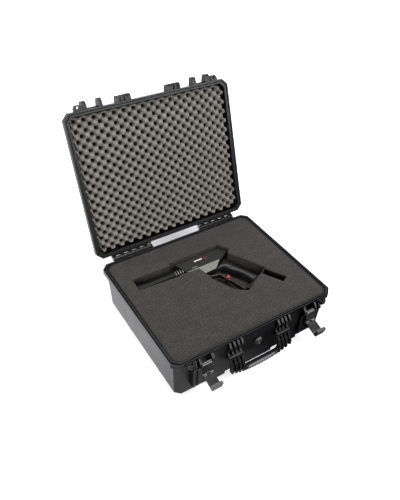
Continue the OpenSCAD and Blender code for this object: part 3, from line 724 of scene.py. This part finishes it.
def build_guard():
    """Finger guard: a smooth swept bar with a raised seat round the button."""
    low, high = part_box("tool_guard")
    middle = (low.z + high.z) / 2
    half_h = (high.z - low.z) / 2
    button_low, button_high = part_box("tool_button")
    seat = Vector(((button_low.x + button_high.x) / 2, (button_low.y + button_high.y) / 2, middle))
    bm = bmesh.new()
    guard_bar(bm, middle, half_h, seat)
    guard_seat(bm, half_h, seat, (button_high.x - button_low.x) / 2)
    bmesh.ops.recalc_face_normals(bm, faces=bm.faces)
    guard = finish_mesh(bm, "instrument_guard", "tool_plastic")
    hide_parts("tool_guard")
    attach(guard, "tool")


build_grip()
build_guard()

# ---------------------------------------------------------------- moulded details

X_AXIS = Vector((1, 0, 0))
Y_AXIS = Vector((0, 1, 0))


def build_lid_ribs():
    """Stiffening ribs on the outside of the lid, moulded in its plastic."""
    low, high = closed_box("lid_shell")
    bars = 4
    reach_x = 0.30 * (high.x - low.x)
    first = low.y + 0.24 * (high.y - low.y)
    last = low.y + 0.76 * (high.y - low.y)
    half_w = 9 * MM
    rise = 1.8 * MM
    round_end = 0.03
    steps = 24
    bm = bmesh.new()
    for k in range(bars):
        y = first + (last - first) * k / (bars - 1)
        stations = []
        for i in range(steps + 1):
            t = i / steps
            blend = min(1.0, t / round_end, (1 - t) / round_end)
            ends = max(0.12, math.sqrt(max(0.0, 1 - (1 - blend) ** 2)))
            centre = Vector((reach_x * (2 * t - 1), y, high.z))
            stations.append((centre, Y_AXIS, UP, superellipse(half_w * ends, rise * ends, 3.0, 24)))
        sweep(bm, stations)
    bmesh.ops.recalc_face_normals(bm, faces=bm.faces)
    bmesh.ops.transform(bm, matrix=TO_OPEN, verts=bm.verts)
    ribs = finish_mesh(bm, "lid_outer_ribs", "case_plastic")
    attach(ribs, "lid")


def build_lever_ribs(side):
    """Fan of raised ribs moulded on a latch lever's plate, from its knee towards its tip."""
    body = "latch_lever_" + side
    low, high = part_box(body)
    pin = JOINTS["latch_%s_lever" % side]["pos_m"]
    knee = Vector(((low.x + high.x) / 2, pin[1], pin[2]))
    along = Vector((0, -math.cos(LEVER_SLOPE), -math.sin(LEVER_SLOPE)))
    out = Vector((0, -math.sin(LEVER_SLOPE), math.cos(LEVER_SLOPE)))
    ribs = 9
    first, last = 8 * MM, 35 * MM              # ends of the ribs, along the plate
    half_in, half_out = 9.5 * MM, 12.6 * MM    # half widths of the fan at those ends
    plate_top = 2.9 * MM                       # above the lever's pin
    half_w, rise = 0.75 * MM, 1.1 * MM
    steps = 8
    bm = bmesh.new()
    for k in range(ribs):
        share = 2 * k / (ribs - 1) - 1
        stations = []
        for i in range(steps + 1):
            t = i / steps
            ends = math.sin(math.pi * t) ** 0.4 if 0 < i < steps else 0.15
            x = share * (half_in + (half_out - half_in) * t)
            centre = knee + X_AXIS * x + along * (first + (last - first) * t) + out * plate_top
            stations.append((centre, X_AXIS, out, superellipse(half_w, rise * ends, 2.0, 10)))
        sweep(bm, stations)
    bmesh.ops.recalc_face_normals(bm, faces=bm.faces)
    fan = finish_mesh(bm, "latch_lever_ribs_" + side, "latch_plastic", "tool_plastic")
    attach(fan, body)


def build_insert_bars():
    """Plain raised bars on the handle's soft insert, shorter towards its ends."""
    low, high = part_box("handle_grip_insert")
    width = high.x - low.x
    height = high.z - low.z
    bars = 9
    slant = 2.0 * MM
    half_w, relief = 1.7 * MM, 0.8 * MM
    top = high.z - 3.0 * MM
    steps = 6
    bm = bmesh.new()
    for k in range(bars):
        x = low.x + width * (0.14 + 0.72 * k / (bars - 1))
        shorter = 0.16 * abs(x / (width / 2)) ** 2 * height
        bottom = low.z + 0.28 * height + shorter
        stations = []
        for i in range(steps + 1):
            t = i / steps
            ends = 0.35 if i in (0, steps) else 1.0
            centre = Vector((x + slant * (t - 0.5), low.y, bottom + (top - bottom) * t))
            stations.append((centre, X_AXIS, -Y_AXIS,
                             superellipse(half_w * ends, relief * ends, 3.0, 12)))
        sweep(bm, stations)
    bmesh.ops.recalc_face_normals(bm, faces=bm.faces)
    made = finish_mesh(bm, "handle_insert_bars", "case_plastic")
    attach(made, "handle")


build_lid_ribs()
build_lever_ribs("left")
build_lever_ribs("right")
build_insert_bars()

# ---------------------------------------------------------------- floor

FLOOR_REACH = 9.0
FLOOR_GAP = 0.2 * MM                   # between the floor and the case's feet
FLOOR_SEEN = (0.80, 0.80, 0.84)        # colour for the camera
FLOOR_UNSEEN = (0.10, 0.10, 0.105)     # colour for light that reaches the object
FLOOR_EMISSION = (0.98, 0.98, 1.0)
UNDER_LID = (0.06, 0.37, 0)            # middle of the painted soft shadow behind the case, under the open lid
REAR_LEFT = (-0.75, 0.66, 0)


def for_camera_only(tree, seen, unseen):
    """A value that is `seen` for rays from the camera and `unseen` for every other ray."""
    path = tree.nodes.new("ShaderNodeLightPath")
    pick = tree.nodes.new("ShaderNodeMapRange")
    tree.links.new(path.outputs["Is Camera Ray"], pick.inputs["Value"])
    for value, socket in ((unseen, pick.inputs["To Min"]), (seen, pick.inputs["To Max"])):
        if isinstance(value, bpy.types.NodeSocket):
            tree.links.new(value, socket)
        else:
            socket.default_value = value
    return pick.outputs["Result"]


def floor_glow(s):
    """What the object's sides reflect: the floor is bright at the rear left, dark at the front."""
    slope = s.node("ShaderNodeVectorMath", {"Vector": s.coords}, operation="DOT_PRODUCT")
    slope.inputs[1].default_value = REAR_LEFT
    return s.between(slope.outputs["Value"], -0.20, 0.22, 0.0, 1.4)


def floor_white(s):
    """What the camera sees: a weaker glow near the object, so that cast shadows show, and a painted soft shadow
    behind the case, both running out to plain white.
    """
    away = s.node("ShaderNodeVectorMath", {"Vector": s.coords}, operation="LENGTH")
    behind = s.node("ShaderNodeVectorMath", {"Vector": s.coords}, operation="DISTANCE")
    behind.inputs[1].default_value = UNDER_LID
    white = s.between(away.outputs["Value"], 0.5, 1.4, 0.55, 1.0)
    # Painted shadow: the floor's glow is cut softly around UNDER_LID, behind the case.
    shadow = s.between(behind.outputs["Value"], 0.0, 0.30, 0.1, 1.0, "SMOOTHSTEP")
    return s.math("MULTIPLY", white, shadow)


def add_floor():
    """Pale floor that glows, with a painted soft shadow behind the case."""
    bm = bmesh.new()
    bmesh.ops.create_grid(bm, x_segments=1, y_segments=1, size=FLOOR_REACH)
    mesh = bpy.data.meshes.new("floor")
    bm.to_mesh(mesh)
    bm.free()
    floor = bpy.data.objects.new("floor", mesh)
    floor.location.z = -FLOOR_GAP
    bpy.context.scene.collection.objects.link(floor)
    s = Shader("floor_white")
    pale = s.mix(for_camera_only(s.tree, 1.0, 0.0), rgb(*FLOOR_UNSEEN), rgb(*FLOOR_SEEN))
    glow = for_camera_only(s.tree, floor_white(s), floor_glow(s))
    mesh.materials.append(s.set(Base_Color=pale, Roughness=0.9, Specular_IOR_Level=0.1,
                                Emission_Color=rgb(*FLOOR_EMISSION), Emission_Strength=glow))


# ---------------------------------------------------------------- light and camera

# Soft lamps as (name, place, size, watts)
LAMPS = [("key", (0.55, -1.25, 1.95), (0.5, 0.5), 17.0),
         ("overhead", (-0.1, 0.1, 2.1), (0.9, 0.9), 24.0),
         ("back_top", (-0.80, 1.2, 2.0), (0.6, 0.6), 14.0),
         ("back_low", (0.9, 2.4, 0.75), (2.4, 1.1), 16.0),
         ("left", (-2.0, -0.2, 1.3), (0.8, 1.2), 14.0),
         ("front_right", (1.17, -2.1, 1.08), (2.0, 0.7), 34.0)]
LAMPS_AIM = Vector((0, 0.05, 0.15))
WORLD_SEEN = 1.0
WORLD_UNSEEN = 0.36
CAMERA_AZIMUTH = math.radians(-34.21)
CAMERA_ELEVATION = math.radians(40.8)
CAMERA_ROLL = math.radians(2.7)
CAMERA_DISTANCE = 1.502
CAMERA_TARGET = Vector((-0.0095, 0.0703, 0.2060))
CAMERA_LENS_MM = 37.38


def add_lamp(name, at, size, watts):
    """Rectangular soft lamp that points at LAMPS_AIM."""
    data = bpy.data.lights.new(name, "AREA")
    data.shape = "RECTANGLE"
    data.size, data.size_y = size
    data.energy = watts
    lamp = bpy.data.objects.new(name, data)
    lamp.location = at
    lamp.rotation_euler = (LAMPS_AIM - Vector(at)).to_track_quat("-Z", "Y").to_euler()
    bpy.context.scene.collection.objects.link(lamp)


def light_scene():
    """White surroundings, dimmer for the object than for the camera, and the soft lamps."""
    world = bpy.data.worlds.new("studio")
    world.use_nodes = True
    background = world.node_tree.nodes["Background"]
    background.inputs["Color"].default_value = rgb(1.0, 1.0, 1.0)
    world.node_tree.links.new(for_camera_only(world.node_tree, WORLD_SEEN, WORLD_UNSEEN),
                              background.inputs["Strength"])
    scene = bpy.context.scene
    scene.world = world
    scene.view_settings.view_transform = "Standard"
    for name, at, size, watts in LAMPS:
        add_lamp(name, at, size, watts)


def add_camera():
    """Camera at CAMERA_DISTANCE from its target, looking down and rolled a little."""
    a, e = CAMERA_AZIMUTH, CAMERA_ELEVATION
    back = Vector((math.sin(a) * math.cos(e), -math.cos(a) * math.cos(e), math.sin(e)))
    right = Vector((math.cos(a), math.sin(a), 0))
    up = back.cross(right)
    rolled_right = right * math.cos(CAMERA_ROLL) + up * math.sin(CAMERA_ROLL)
    rolled_up = back.cross(rolled_right)
    data = bpy.data.cameras.new("camera")
    data.lens = CAMERA_LENS_MM
    camera = bpy.data.objects.new("camera", data)
    axes = Matrix((rolled_right, rolled_up, back)).transposed()
    camera.matrix_world = Matrix.Translation(CAMERA_TARGET + back * CAMERA_DISTANCE) @ axes.to_4x4()
    bpy.context.scene.collection.objects.link(camera)
    bpy.context.scene.camera = camera


add_floor()
light_scene()
add_camera()
